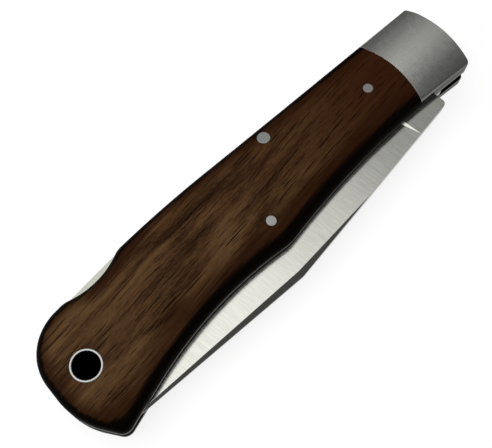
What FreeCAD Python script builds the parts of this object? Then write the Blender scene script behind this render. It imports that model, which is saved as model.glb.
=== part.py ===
"""Folding lockback pocket knife, closed and lying on its side, in millimetres.

The origin is on the axis of the lanyard bore, at half the knife's thickness. +X runs from the butt to
the bolster, +Y to the spine with the lock bar, and +Z to the near side, which faces up in the photo.
"""
import FreeCAD
import Part
import math
import os
import re
import Sketcher

# Driving dimensions
SIZES = {
    # blade, measured from its pivot: x to the tip, y to the spine
    "blade_reach": 104.8,
    "blade_thickness": 2.6,
    "spine_offset": 11.65,
    "edge_offset": 7.4,
    "tip_offset": 3.9,
    "clip_length": 45.4,
    "point_length": 18.2,
    "point_radius": 62.0,
    "step_x": 3.7,
    "step_radius": 1.2,
    "tang_radius": 8.9,
    "ricasso_length": 14.4,
    "plunge_angle": 15.0,
    "edge_half_thickness": 0.45,
    "taper_angle": 0.34,
    "swedge_run": 25.4,
    "swedge_width": 1.7,
    "swedge_angle": 18.4,
    # place of the pivot, and how far the blade leans below the handle's axis
    "tip_setback": 0.2,
    "pivot_y": -1.9,
    "closed_tilt": 4.6,
    "open_tilt": 4.4,
    # handle outline at the head, measured from the pivot and the tang's rim
    "head_top_x": 12.0,
    "head_top_cover": 1.45,
    "head_low_x": 12.0,
    "head_low_cover": 1.27,
    "head_end_x": 8.95,
    "head_end_y": 1.13,
    "head_end_radius": 34.0,
    # rest of the handle outline: corners of a polygon and the radii that round them
    "belly_x": 77.1,
    "belly_y": -8.2,
    "belly_radius": 227.0,
    "swell_x": 50.0,
    "swell_y": -11.4,
    "swell_radius": 8.0,
    "palm_x": 27.2,
    "palm_y": -8.0,
    "palm_radius": 99.0,
    "toe_x": -3.8,
    "toe_y": -15.7,
    "toe_radius": 2.4,
    "butt_x": -9.4,
    "butt_y": -6.4,
    "butt_radius": 17.4,
    "heel_x": -7.4,
    "heel_y": 13.5,
    "heel_radius": 12.2,
    "spine_x": 31.8,
    "spine_y": 15.2,
    "spine_radius": 270.0,
    # layers across the thickness, the domed faces and their rounded edges, which sharpen towards the head
    "side_clearance": 0.05,
    "liner_thickness": 1.0,
    "cover_height": 4.0,
    "crown_y": 0.3,
    "crown_radius": 50.0,
    "edge_rounding": 2.2,
    "head_rounding": 0.25,
    "sharpening_x": 66.0,
    # thumb scoop in the spine
    "scoop_x": 13.2,
    "scoop_depth": 2.65,
    "scoop_radius": 18.0,
    "scoop_lip_radius": 6.0,
    # curved joint between wood and bolster, measured from the pivot
    "joint_setback": 6.9,
    "joint_rise": 2.9,
    "joint_radius": 31.0,
    # lock at the head, measured from the pivot along the open blade
    "lock_drop": 1.0,
    "rim_gap": 0.15,
    "lip_gap": 0.2,
    "notch_gap": 0.1,
    "tooth_front": 1.6,
    "tooth_width": 3.4,
    "bar_shoulder_x": 16.0,
    "bar_shoulder_y": 6.4,
    "bar_belly_x": 30.0,
    "bar_belly_y": 5.0,
    # lock and spacer at the butt, measured from the lanyard axis along the open blade
    "bar_tail_x": 5.6,
    "tail_gap": 0.5,
    "spring_tip_x": 55.0,
    "spring_tip_gap": 0.3,
    "spring_tip_thickness": 1.2,
    "spring_root_x": 14.0,
    "spring_root_gap": 1.6,
    "spring_root_depth": 2.6,
    "spring_leaf_thickness": 1.8,
    "spring_pin_x": 9.7,
    "spacer_blade_gap": 1.5,
    # pins and the lanyard tube
    "running_clearance": 0.03,
    "pivot_pin_radius": 2.0,
    "lock_pin_x": 63.3,
    "lock_pin_depth": 5.43,
    "lock_pin_radius": 1.55,
    "front_pin_setback": 15.7,
    "front_pin_rise": 2.8,
    "mid_pin_x": 49.6,
    "mid_pin_y": -5.45,
    "scale_pin_radius": 1.2,
    "spring_pin_radius": 0.75,
    "spacer_pin_radius": 1.0,
    "upper_spacer_pin_x": -2.5,
    "upper_spacer_pin_y": 8.6,
    "lower_spacer_pin_x": -4.2,
    "lower_spacer_pin_y": -9.8,
    "bolster_pin_radius": 0.8,
    "bolster_pin_depth": 1.8,
    "upper_bolster_pin_x": -2.0,
    "upper_bolster_pin_y": 7.3,
    "lower_bolster_pin_x": 4.6,
    "lower_bolster_pin_y": -5.1,
    "lanyard_bore_radius": 3.0,
    "lanyard_wall": 0.55,
}

# Heights of the layers above the middle plane, as formulas of the sizes
HALF_BLADE = "(blade_thickness / 2)"
INNER = "(blade_thickness / 2 + side_clearance)"
OUTER = "(blade_thickness / 2 + side_clearance + liner_thickness)"
CROWN = "(blade_thickness / 2 + side_clearance + liner_thickness + cover_height)"

# Places that several pieces share
PIVOT_X = "(blade_reach + tip_setback)"
CLOSED_ANGLE = "(180 + closed_tilt)"
OPEN_ANGLE = "(360 - open_tilt)"
OPEN_TRAVEL = "(180 - closed_tilt - open_tilt)"
LOCK_PIN_Y = "(spine_y - lock_pin_depth)"

# Points that the spine and the lower edge pass through at the head, and the blank's upright end
HEAD_TOP = (f"({PIVOT_X} + head_top_x)", "(pivot_y + tang_radius + head_top_cover)")
HEAD_LOW = (f"({PIVOT_X} + head_low_x)", "(pivot_y - tang_radius - head_low_cover)")
BLANK_END = f"({PIVOT_X} + max(head_top_x; head_low_x))"

# Upright cylinders that shape the handle: x, y and radius
HEAD_END = (f"({PIVOT_X} + head_end_x - head_end_radius)", "(pivot_y + head_end_y)", "head_end_radius")
JOINT = (f"({PIVOT_X} - joint_setback - joint_radius)", "(pivot_y + joint_rise)", "joint_radius")
SCOOP = ("scoop_x", "(spine_y - scoop_depth + scoop_radius)", "scoop_radius")

# The spine's line over the scoop, the scoop's depth below it, and the line's length from heel to lip
SPINE_AT_SCOOP = "(heel_y + (spine_y - heel_y) * (scoop_x - heel_x) / (spine_x - heel_x))"
SCOOP_SINK = f"({SPINE_AT_SCOOP} - spine_y + scoop_depth)"
LIP_DISTANCE = "(scoop_radius + scoop_lip_radius)"
LIP_REACH = f"sqrt({LIP_DISTANCE} ^ 2 - ({LIP_DISTANCE} - {SCOOP_SINK}) ^ 2)"
HEEL_ROOM = f"(scoop_x - {LIP_REACH} - heel_x)"

# Lines of the lock that the blade, the bar, the spring and the spacer share
TOOTH_TIP = "(tang_radius + rim_gap)"
TOOTH_BACK = "(tooth_front - tooth_width)"
LIP_UNDERSIDE = "(tang_radius + lock_drop + 2 * rim_gap)"
BAR_TOP = "(2 * spine_offset)"
BAR_TAIL = f"(bar_tail_x - {PIVOT_X})"
SPACER_WALL = f"({BAR_TAIL} - tail_gap)"
SPRING_ROOT = f"(spring_root_x - {PIVOT_X})"
SPRING_TOP = "(bar_belly_y - spring_root_gap)"
SPRING_SEAT = f"({SPRING_TOP} - spring_root_depth)"

# A length that reaches past every piece, for cutters
REACH = "(2 * blade_reach)"

# Largest share of an outline's edge that the roundings at its two ends may take
ROUNDING_SHARE = 0.96

# Two places closer than this are the same
TOLERANCE = 1e-4

NEAR = 1
FAR = -1
SIDES = {NEAR: "near", FAR: "far"}

doc = FreeCAD.newDocument("folding_knife")
nodes = []


def make_sheet():
    """Put every driving dimension into a sheet, one aliased cell each."""
    sheet = doc.addObject("Spreadsheet::Sheet", "Sizes")
    for row, (alias, size) in enumerate(SIZES.items(), start=1):
        sheet.set(f"A{row}", alias)
        sheet.set(f"B{row}", str(size))
        sheet.setAlias(f"B{row}", alias)
    doc.recompute()
    return sheet


sizes = make_sheet()


# Formulas and bindings
def linked(formula):
    """Give a formula of size names as an expression that reads the sheet."""
    return re.sub(r"[a-z]+(_[a-z]+)+", lambda word: f"Sizes.{word.group()}", str(formula))


def value(formula):
    """Give the number that a formula of size names has now."""
    return float(sizes.evalExpression(linked(formula)))


def bind(thing, prop, formula):
    """Drive a property of a document object by a formula of size names."""
    thing.setExpression(prop, linked(formula))


def place(thing, x=0, y=0, z=0, turn=0):
    """Drive an object's place and its turn about +Z."""
    bind(thing, "Placement", f"placement(vector({x}; {y}; {z}); rotation({turn}; 0; 0))")


# Sketches
def add_sketch(body, name, plane="XY_Plane", offset=None):
    """Add a sketch on one of the body's own planes, with an optional attachment offset."""
    sketch = body.newObject("Sketcher::SketchObject", name)
    support = next(item for item in body.Origin.OriginFeatures if item.Role == plane)
    sketch.AttachmentSupport = (support, "")
    sketch.MapMode = "FlatFace"
    if offset:
        bind(sketch, "AttachmentOffset", offset)
    return sketch


def dimension(sketch, kind, where, formula):
    """Add a dimension to a sketch and drive it by a formula."""
    index = sketch.addConstraint(Sketcher.Constraint(kind, *where, value(formula)))
    label = f"{kind}_{index}"
    sketch.renameConstraint(index, label)
    bind(sketch, f"Constraints.{label}", formula)


def pin_point(sketch, geometry, end, corner):
    """Drive both coordinates of one point of a sketch."""
    dimension(sketch, "DistanceX", (geometry, end), corner[0])
    dimension(sketch, "DistanceY", (geometry, end), corner[1])


def half_angle(before, corner, after):
    """Give half the angle between the two edges that meet at a corner."""
    return (before - corner).getAngle(after - corner) / 2


def rounding(before, corner, after, radius):
    """Give the start, middle and end of the arc that rounds a corner."""
    angle = half_angle(before, corner, after)
    tangent_length = radius / math.tan(angle)
    depth = radius / math.sin(angle) - radius
    to_before = (before - corner).normalize()
    to_after = (after - corner).normalize()
    inwards = (to_before + to_after).normalize()
    return corner + to_before * tangent_length, corner + inwards * depth, corner + to_after * tangent_length


def fitted_radii(corners, points):
    """Give each rounded corner's radius as a formula, limited by the edges that meet there."""
    count = len(points)
    tangents = []
    for index, corner in enumerate(corners):
        angle = half_angle(points[index - 1], points[index], points[(index + 1) % count])
        tangents.append(value(corner[2]) / math.tan(angle) if len(corner) > 2 else 0)
    room = []
    for index, point in enumerate(points):
        following = (index + 1) % count
        taken = max(tangents[index] + tangents[following], TOLERANCE)
        room.append(min(1, ROUNDING_SHARE * point.distanceToPoint(points[following]) / taken))
    radii = {}
    for index, corner in enumerate(corners):
        if len(corner) > 2:
            limits = [ROUNDING_SHARE * value(length) / tangents[index] for length in corner[3:]]
            radii[index] = f"{min(room[index - 1], room[index], *limits)} * ({corner[2]})"
    return radii


def draw_outline(sketch, corners):
    """Draw a closed outline through corners.

    A corner is x and y, then the radius that rounds it, then a length that its rounding has to keep to.
    """
    count = len(corners)
    points = [FreeCAD.Vector(value(corner[0]), value(corner[1]), 0) for corner in corners]
    radii = fitted_radii(corners, points)
    arcs = {}
    for index, radius in radii.items():
        after = points[(index + 1) % count]
        arcs[index] = rounding(points[index - 1], points[index], after, value(radius))
    lines = []
    for index in range(count):
        following = (index + 1) % count
        start = arcs[index][2] if index in arcs else points[index]
        end = arcs[following][0] if following in arcs else points[following]
        lines.append(sketch.addGeometry(Part.LineSegment(start, end), False))
    for index, corner in enumerate(corners):
        before, after = lines[index - 1], lines[index]
        if index not in arcs:
            sketch.addConstraint(Sketcher.Constraint("Coincident", before, 2, after, 1))
            pin_point(sketch, after, 1, corner)
            continue
        incoming = points[index] - points[index - 1]
        outgoing = points[(index + 1) % count] - points[index]
        turns_left = incoming.cross(outgoing).z > 0
        sweep = arcs[index] if turns_left else reversed(arcs[index])
        curve = sketch.addGeometry(Part.Arc(*sweep), False)
        first, last = (1, 2) if turns_left else (2, 1)
        vertex = sketch.addGeometry(Part.Point(points[index]), True)
        sketch.addConstraint([
            Sketcher.Constraint("Tangent", before, 2, curve, first),
            Sketcher.Constraint("Tangent", curve, last, after, 1),
            Sketcher.Constraint("PointOnObject", vertex, 1, before),
            Sketcher.Constraint("PointOnObject", vertex, 1, after),
        ])
        pin_point(sketch, vertex, 1, corner)
        dimension(sketch, "Radius", (curve,), radii[index])


def draw_circle(sketch, radius):
    """Draw a circle about the sketch's origin."""
    circle = Part.Circle(FreeCAD.Vector(), FreeCAD.Vector(0, 0, 1), value(radius))
    index = sketch.addGeometry(circle, False)
    sketch.addConstraint(Sketcher.Constraint("Coincident", index, 3, -1, 1))
    dimension(sketch, "Radius", (index,), radius)


# Features
def add_pad(body, sketch, thickness):
    """Pad a sketch evenly to both sides of its plane."""
    pad = body.newObject("PartDesign::Pad", f"{sketch.Name}_pad")
    pad.Profile = sketch
    pad.SideType = "Symmetric"
    bind(pad, "Length", thickness)
    return pad


def add_pocket(body, sketch, length=None, heading=None):
    """Cut a sketch through everything, or for a length, and make sure that it cuts.

    The length runs along the sketch's normal, or along a heading where one is given.
    """
    doc.recompute()
    volume = body.Shape.Volume
    pocket = body.newObject("PartDesign::Pocket", f"{sketch.Name}_cut")
    pocket.Profile = sketch
    if length:
        pocket.Reversed = not heading
        bind(pocket, "Length", length)
    else:
        pocket.Type = "ThroughAll"
        pocket.SideType = "Symmetric"
    if heading:
        pocket.UseCustomVector = True
        pocket.AlongSketchNormal = False
        bind(pocket, "Direction", heading)
    doc.recompute()
    if body.Shape.Volume > volume - TOLERANCE:
        raise RuntimeError(f"{pocket.Name} cuts nothing")
    return pocket


def slab_body(name, corners, thickness):
    """Make a flat body of even thickness from an outline in the middle plane."""
    body = doc.addObject("PartDesign::Body", name)
    sketch = add_sketch(body, f"{name}_outline")
    draw_outline(sketch, corners)
    add_pad(body, sketch, thickness)
    return body


def boolean(kind, name, base, tool):
    """Join, cut or intersect two objects and keep the result as a new object."""
    result = doc.addObject(f"Part::{kind}", name)
    result.Base = base
    result.Tool = tool
    result.Refine = True
    return result


def cut_all(name, base, tools):
    """Cut several tools from one object."""
    group = doc.addObject("Part::Compound", f"{name}_tools")
    group.Links = tools
    return boolean("Cut", name, base, group)


def add_cylinder(name, x, y, radius, low=f"-2 * {CROWN}", high=f"2 * {CROWN}"):
    """Make an upright cylinder between two heights. Without heights it goes right through the knife."""
    cylinder = doc.addObject("Part::Cylinder", name)
    bind(cylinder, "Radius", radius)
    bind(cylinder, "Height", f"{high} - ({low})")
    place(cylinder, x, y, low)
    return cylinder


def add_layer(name, low, high):
    """Make a flat block between two heights that reaches past the knife on every side."""
    layer = doc.addObject("Part::Box", name)
    bind(layer, "Length", f"2 * {REACH}")
    bind(layer, "Width", f"2 * {REACH}")
    bind(layer, "Height", f"{high} - ({low})")
    place(layer, f"-{REACH}", f"-{REACH}", low)
    return layer


def side_layer(name, side, low, high):
    """Make a layer between two heights on the near side, or its mirror image on the far side."""
    if side == NEAR:
        return add_layer(f"{name}_near", low, high)
    return add_layer(f"{name}_far", f"-{high}", f"-{low}")


def fillet_edges(name, base, radius_at, wanted):
    """Round the edges of an object that a test picks, with the radius that the place of each end gives."""
    doc.recompute()
    fillet = doc.addObject("Part::Fillet", name)
    fillet.Base = base
    roundings = []
    for index, edge in enumerate(base.Shape.Edges, start=1):
        if wanted(edge):
            roundings.append((index, *(radius_at(end.Point) for end in edge.Vertexes)))
    fillet.Edges = roundings
    return fillet


# Handle envelope that the covers, liners, pins, bar and spacer are cut from
def make_front_block(name, x, y, radius):
    """Make a block of all that lies in front of an upright cylinder's front skin."""
    box = doc.addObject("Part::Box", f"{name}_box")
    bind(box, "Length", REACH)
    bind(box, "Width", f"2 * {REACH}")
    bind(box, "Height", f"2 * {REACH}")
    place(box, x, f"-{REACH}", f"-{REACH}")
    return boolean("Cut", f"{name}_block", box, add_cylinder(f"{name}_cylinder", x, y, radius))


def height_on_line(start, end, x):
    """Give the height, at a place x, of the line through two points."""
    return f"{end[1]} + ({x} - {end[0]}) * ({end[1]} - {start[1]}) / ({end[0]} - {start[0]})"


def make_outline():
    """Make the handle's outline as a block of the full thickness, longer than the head."""
    corners = [
        (BLANK_END, height_on_line(("spine_x", "spine_y"), HEAD_TOP, BLANK_END)),
        ("spine_x", "spine_y", "spine_radius"),
        ("heel_x", "heel_y", "heel_radius", HEEL_ROOM),
        ("butt_x", "butt_y", "butt_radius"),
        ("toe_x", "toe_y", "toe_radius"),
        ("palm_x", "palm_y", "palm_radius"),
        ("swell_x", "swell_y", "swell_radius"),
        ("belly_x", "belly_y", "belly_radius"),
        (BLANK_END, height_on_line(("belly_x", "belly_y"), HEAD_LOW, BLANK_END)),
    ]
    return slab_body("handle_outline", corners, f"2 * {CROWN}")


def make_crown(side):
    """Make the large cylinder along the handle whose skin is the domed face of one side."""
    crown = doc.addObject("Part::Cylinder", f"crown_{SIDES[side]}")
    bind(crown, "Radius", "crown_radius")
    bind(crown, "Height", f"2 * {REACH}")
    height = f"{side} * ({CROWN} - crown_radius)"
    bind(crown, "Placement", f"placement(vector(-{REACH}; crown_y; {height}); rotation(90; 0; 90))")
    return crown


def is_upright(edge):
    """Tell whether an edge stands parallel to the thickness."""
    first, last = edge.Vertexes[0].Point, edge.Vertexes[-1].Point
    return abs(first.z - last.z) > TOLERANCE and math.hypot(first.x - last.x, first.y - last.y) < TOLERANCE


def is_on_cylinder(point, x, y, radius):
    """Tell whether a point lies on an upright cylinder."""
    from_axis = math.hypot(point.x - value(x), point.y - value(y))
    return abs(from_axis - value(radius)) < TOLERANCE


def make_envelope(outline):
    """Dome both faces of the outline, cut the thumb scoop, round the long edges and cut the head's end.

    Returns the block with sharp edges, for the liners, and the rounded one, for the covers.
    """
    domed = boolean("Common", "domed_near", outline, make_crown(NEAR))
    domed = boolean("Common", "domed_both", domed, make_crown(FAR))
    scooped = boolean("Cut", "scooped", domed, add_cylinder("scoop", *SCOOP))

    def lip_radius(end):
        return value("scoop_lip_radius")

    def is_scoop_end(edge):
        return is_upright(edge) and is_on_cylinder(edge.Vertexes[0].Point, *SCOOP)

    eased = fillet_edges("scoop_eased", scooped, lip_radius, is_scoop_end)
    blank_end = value(BLANK_END)

    def edge_radius(end):
        sharpened = (end.x - value("sharpening_x")) / (blank_end - value("sharpening_x"))
        return value("edge_rounding") - max(0, min(1, sharpened)) * value("edge_rounding - head_rounding")

    def is_long_edge(edge):
        middle = edge.valueAt((edge.FirstParameter + edge.LastParameter) / 2)
        return not is_upright(edge) and middle.x < blank_end - TOLERANCE and abs(middle.z) > value(OUTER)

    rounded = fillet_edges("rounded", eased, edge_radius, is_long_edge)
    head_end = make_front_block("head_end", *HEAD_END)
    sharp_envelope = boolean("Cut", "sharp_envelope", eased, head_end)
    return sharp_envelope, boolean("Cut", "round_envelope", rounded, head_end)


def finish(thing, label):
    """Name a finished sub-part and keep it for the files."""
    thing.Label = label
    nodes.append(thing)
    return thing


# Bores, shared by each pin and by the plates that it goes through
def make_bores():
    """Make the cylinder of every pin and of the lanyard tube, right through the knife."""
    along = f"(spring_pin_x - {PIVOT_X})"
    across = f"({SPRING_TOP} - spring_root_depth / 2)"
    spring_pin_x = f"{PIVOT_X} + {along} * cos({OPEN_ANGLE}) - {across} * sin({OPEN_ANGLE})"
    spring_pin_y = f"pivot_y + {along} * sin({OPEN_ANGLE}) + {across} * cos({OPEN_ANGLE})"
    front_pin_x = f"{PIVOT_X} - front_pin_setback"
    spots = {
        "pivot_pin": (PIVOT_X, "pivot_y", "pivot_pin_radius"),
        "lock_pin": ("lock_pin_x", LOCK_PIN_Y, "lock_pin_radius"),
        "lanyard_tube": ("0", "0", "lanyard_bore_radius + lanyard_wall"),
        "scale_pin_front": (front_pin_x, "pivot_y + front_pin_rise", "scale_pin_radius"),
        "scale_pin_mid": ("mid_pin_x", "mid_pin_y", "scale_pin_radius"),
        "spring_pin": (spring_pin_x, spring_pin_y, "spring_pin_radius"),
        "spacer_pin_upper": ("upper_spacer_pin_x", "upper_spacer_pin_y", "spacer_pin_radius"),
        "spacer_pin_lower": ("lower_spacer_pin_x", "lower_spacer_pin_y", "spacer_pin_radius"),
    }
    return {name: add_cylinder(f"{name}_bore", *spot) for name, spot in spots.items()}


def make_bolster_pins(side):
    """Make the two blind pins that hold a bolster to its liner."""
    ends = (INNER, f"({OUTER} + bolster_pin_depth)")
    low, high = ends if side == NEAR else [f"-{end}" for end in reversed(ends)]
    pins = []
    for spot in ("upper", "lower"):
        name = f"bolster_pin_{spot}_{SIDES[side]}"
        x = f"{PIVOT_X} + {spot}_bolster_pin_x"
        y = f"pivot_y + {spot}_bolster_pin_y"
        pins.append(finish(add_cylinder(name, x, y, "bolster_pin_radius", low, high), name))
    return pins


# Sub-parts
def make_side(side, sharp_envelope, envelope, head_block, bores):
    """Make one side of the handle: liner, scale, bolster and the pins that end in it."""
    name = SIDES[side]
    bolster_pins = make_bolster_pins(side)
    through = [bores[key] for key in ("pivot_pin", "lock_pin", "lanyard_tube")]
    scale_bores = [bores[key] for key in ("scale_pin_front", "scale_pin_mid")]
    inner_bores = [bores[key] for key in ("spring_pin", "spacer_pin_upper", "spacer_pin_lower")]
    liner_layer = side_layer("liner_layer", side, INNER, OUTER)
    liner_blank = boolean("Common", f"liner_blank_{name}", sharp_envelope, liner_layer)
    liner = cut_all(f"liner_{name}", liner_blank, through + scale_bores + inner_bores + bolster_pins)
    finish(liner, f"liner_{name}")
    cover_layer = side_layer("cover_layer", side, OUTER, f"2 * {CROWN}")
    cover = boolean("Common", f"cover_{name}", envelope, cover_layer)
    bolster_blank = boolean("Common", f"bolster_blank_{name}", cover, head_block)
    bolster = cut_all(f"bolster_{name}", bolster_blank, [bores["pivot_pin"]] + bolster_pins)
    finish(bolster, f"bolster_{name}")
    scale_tools = [head_block, bores["lock_pin"], bores["lanyard_tube"]] + scale_bores
    scale = cut_all(f"scale_{name}", cover, scale_tools)
    finish(scale, f"scale_{name}")
    pin_layer = side_layer("pin_layer", side, INNER, f"2 * {CROWN}")
    skin = boolean("Common", f"skin_{name}", envelope, pin_layer)
    for key in ("scale_pin_front", "scale_pin_mid"):
        finish(boolean("Common", f"{key}_{name}", skin, bores[key]), f"{key}_{name}")


def make_through_pins(envelope, bores):
    """Make the pins that end flush with the domed faces, and the ones that end in the liners."""
    for name in ("pivot_pin", "lock_pin"):
        finish(boolean("Common", name, envelope, bores[name]), name)
    tube = boolean("Common", "lanyard_blank", envelope, bores["lanyard_tube"])
    hole = add_cylinder("lanyard_bore", "0", "0", "lanyard_bore_radius")
    finish(boolean("Cut", "lanyard_tube", tube, hole), "lanyard_tube")
    between = add_layer("liner_span", f"-{OUTER}", OUTER)
    for name in ("spring_pin", "spacer_pin_upper", "spacer_pin_lower"):
        finish(boolean("Common", name, between, bores[name]), name)


def make_lock_bar(outline):
    """Make the lock bar: its back flush with the spine, its tooth just clear of the tang's rim."""
    nose = "step_x - lip_gap"
    corners = [
        (nose, BAR_TOP),
        (BAR_TAIL, BAR_TOP),
        (BAR_TAIL, "bar_belly_y"),
        ("-bar_belly_x", "bar_belly_y"),
        ("-bar_shoulder_x", "bar_shoulder_y"),
        (TOOTH_BACK, LIP_UNDERSIDE),
        (TOOTH_BACK, TOOTH_TIP),
        ("tooth_front", TOOTH_TIP),
        ("tooth_front", LIP_UNDERSIDE),
        (nose, LIP_UNDERSIDE),
    ]
    blank = slab_body("lock_bar_blank", corners, "blade_thickness")
    place(blank, PIVOT_X, "pivot_y", 0, OPEN_ANGLE)
    flush = boolean("Common", "lock_bar_flush", outline, blank)
    fit = add_cylinder("lock_bar_fit", "lock_pin_x", LOCK_PIN_Y, "lock_pin_radius + running_clearance")
    finish(boolean("Cut", "lock_bar", flush, fit), "lock_bar")


def make_lock_spring(bores):
    """Make the leaf spring, seated on the spacer with its tip under the lock bar."""
    tip = f"spring_tip_x - {PIVOT_X}"
    tip_top = "bar_belly_y - spring_tip_gap"
    corners = [
        (SPACER_WALL, SPRING_TOP),
        (SPACER_WALL, SPRING_SEAT),
        (SPRING_ROOT, SPRING_SEAT),
        (SPRING_ROOT, f"{SPRING_TOP} - spring_leaf_thickness"),
        (tip, f"{tip_top} - spring_tip_thickness"),
        (tip, tip_top),
        (SPRING_ROOT, SPRING_TOP),
    ]
    blank = slab_body("lock_spring_blank", corners, "blade_thickness")
    place(blank, PIVOT_X, "pivot_y", 0, OPEN_ANGLE)
    finish(boolean("Cut", "lock_spring", blank, bores["spring_pin"]), "lock_spring")


def make_blade_room():
    """Make the room that the spacer leaves for the point of the closed blade."""
    low = "-edge_offset - spacer_blade_gap"
    far = "blade_reach + spacer_blade_gap"
    corners = [
        ("0", low),
        ("blade_reach - point_length", low),
        (far, "tip_offset"),
        (far, REACH),
        ("0", REACH),
    ]
    room = slab_body("blade_room", corners, f"4 * {INNER}")
    place(room, PIVOT_X, "pivot_y", 0, CLOSED_ANGLE)
    return room


def make_butt_spacer(outline, bores):
    """Make the spacer between the liners at the butt, clear of the blade's point."""
    corners = [
        (SPACER_WALL, REACH),
        (f"-{REACH}", REACH),
        (f"-{REACH}", f"-{REACH}"),
        (SPRING_ROOT, f"-{REACH}"),
        (SPRING_ROOT, SPRING_SEAT),
        (SPACER_WALL, SPRING_SEAT),
    ]
    blank = slab_body("butt_spacer_blank", corners, f"2 * {INNER}")
    place(blank, PIVOT_X, "pivot_y", 0, OPEN_ANGLE)
    flush = boolean("Common", "butt_spacer_flush", outline, blank)
    holes = [bores[key] for key in ("lanyard_tube", "spacer_pin_upper", "spacer_pin_lower")]
    finish(cut_all("butt_spacer", flush, [make_blade_room()] + holes), "butt_spacer")


def make_blade():
    """Make the blade: point, swedge, flat grind, ricasso and the round tang with its lock notches."""
    body = slab_body("blade", [
        ("step_x", "spine_offset", "step_radius"),
        ("step_x", "0"),
        ("0", "0"),
        ("0", "-edge_offset"),
        ("blade_reach - point_length", "-edge_offset", "point_radius"),
        ("blade_reach", "tip_offset"),
        ("blade_reach - clip_length", "spine_offset"),
    ], "blade_thickness")
    tang = add_sketch(body, "tang")
    draw_circle(tang, "tang_radius")
    add_pad(body, tang, "blade_thickness")
    bore = add_sketch(body, "pivot_bore")
    draw_circle(bore, "pivot_pin_radius + running_clearance")
    add_pocket(body, bore)
    cut_notch(body, "lock_notch", "0")
    cut_notch(body, "closed_relief", OPEN_TRAVEL)
    for side in (NEAR, FAR):
        cut_grind(body, side)
        cut_swedge(body, side)
    place(body, PIVOT_X, "pivot_y", 0, CLOSED_ANGLE)
    finish(body, "blade")


def cut_notch(body, name, turn):
    """Cut the notch that takes the bar's tooth, in the tang turned by an angle."""
    sketch = add_sketch(body, name, "XY_Plane", f"placement(vector(0; 0; 0); rotation({turn}; 0; 0))")
    front = "tooth_front + notch_gap"
    back = f"{TOOTH_BACK} - notch_gap"
    floor = "tang_radius - lock_drop"
    rim = "tang_radius + lock_drop"
    draw_outline(sketch, [(back, floor), (front, floor), (front, rim), (back, rim)])
    add_pocket(body, sketch)


def blade_face_sketch(body, name, side, x, y, turn="0", lean="taper_angle"):
    """Add a sketch across the blade at a station, for the cuts of one face.

    Its x axis points to the spine and its y axis to the near side. The turn is in the blade's plane, and
    the lean tips the sketch along the blade, with the face's taper unless another angle is given.
    """
    offset = f"placement(vector({y}; 0; {x}); rotation(0; {turn}; {side} * {lean}))"
    return add_sketch(body, f"{name}_{SIDES[side]}", "YZ_Plane", offset)


def draw_above(sketch, side, start, end, slope="90"):
    """Draw the region on the outer side of a line, up to well above the blade's face.

    The line's heights are measured from the middle plane, and the slope is that of the sketch's plane.
    """
    above = "2 * blade_thickness"
    corners = [start, end, (end[0], above), (start[0], above)]
    draw_outline(sketch, [(x, f"{side} * ({y}) / sin({slope})") for x, y in corners])


def cut_grind(body, side):
    """Cut the flat grind of one face to the tip, with a slanted plunge at the ricasso."""
    start = f"ricasso_length + {HALF_BLADE} / tan(plunge_angle)"
    sketch = blade_face_sketch(body, "flat_grind", side, start, "0", lean="(plunge_angle - 90)")
    at_spine = ("spine_offset", HALF_BLADE)
    at_edge = ("-edge_offset", "edge_half_thickness")
    draw_above(sketch, side, at_spine, at_edge, "plunge_angle")
    add_pocket(body, sketch, REACH, f"vector(cos(taper_angle); 0; {-side} * sin(taper_angle))")


def cut_swedge(body, side):
    """Bevel the clip of one face, with a ramp that leads into the bevel along the spine."""
    slope = "tan(swedge_angle)"
    lean = "tan(taper_angle)"
    reach = "2 * swedge_width"
    clip_start = "(blade_reach - clip_length)"
    ramp_start = f"({clip_start} - swedge_run)"
    ramp_turn = "atan(swedge_width / swedge_run)"
    ramp_rise = f"({HALF_BLADE} - ({ramp_start} - ricasso_length) * {lean})"
    ramp = blade_face_sketch(body, "swedge_ramp", side, ramp_start, "spine_offset", f"-{ramp_turn}")
    draw_above(ramp, side, ("0", ramp_rise), (reach, f"{ramp_rise} - {reach} * {slope}"))
    add_pocket(body, ramp, f"swedge_run / cos({ramp_turn})")
    clip_turn = "atan((spine_offset - tip_offset) / clip_length)"
    clip_rise = f"({HALF_BLADE} - ({clip_start} - ricasso_length) * {lean} - swedge_width * {slope})"
    clip = blade_face_sketch(body, "swedge_clip", side, clip_start, "spine_offset", f"-{clip_turn}")
    inside = (f"-{reach}", f"{clip_rise} + {reach} * {slope}")
    outside = (reach, f"{clip_rise} - {reach} * {slope}")
    draw_above(clip, side, inside, outside)
    add_pocket(body, clip, REACH)


def check_and_write():
    """Stop on any failed object or bad shape, then write one file per sub-part."""
    doc.recompute()
    for item in doc.Objects:
        if {"Invalid", "Error"} & set(item.State):
            raise RuntimeError(f"{item.Name} failed: {item.State}")
    for node in nodes:
        shape = node.Shape
        if shape.isNull() or not shape.isValid() or not shape.Solids:
            raise RuntimeError(f"{node.Label} has a bad shape")
        print(f"{node.Label}: {len(shape.Solids)} solid, {shape.Volume:.1f} cubic mm")
    os.makedirs("parts", exist_ok=True)
    for node in nodes:
        node.Shape.exportStep(f"parts/{node.Label}.step")


def main():
    """Build the whole knife."""
    outline = make_outline()
    sharp_envelope, envelope = make_envelope(outline)
    bores = make_bores()
    head_block = make_front_block("joint", *JOINT)
    for side in (NEAR, FAR):
        make_side(side, sharp_envelope, envelope, head_block, bores)
    make_through_pins(envelope, bores)
    make_lock_bar(outline)
    make_lock_spring(bores)
    make_butt_spacer(outline, bores)
    make_blade()
    check_and_write()


main()
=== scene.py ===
"""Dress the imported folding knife: finishes, flush pins, the lanyard tube and a plain studio."""
import logging
import math
from collections.abc import Callable, Iterable
from dataclasses import dataclass, field
from enum import Enum

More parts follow.
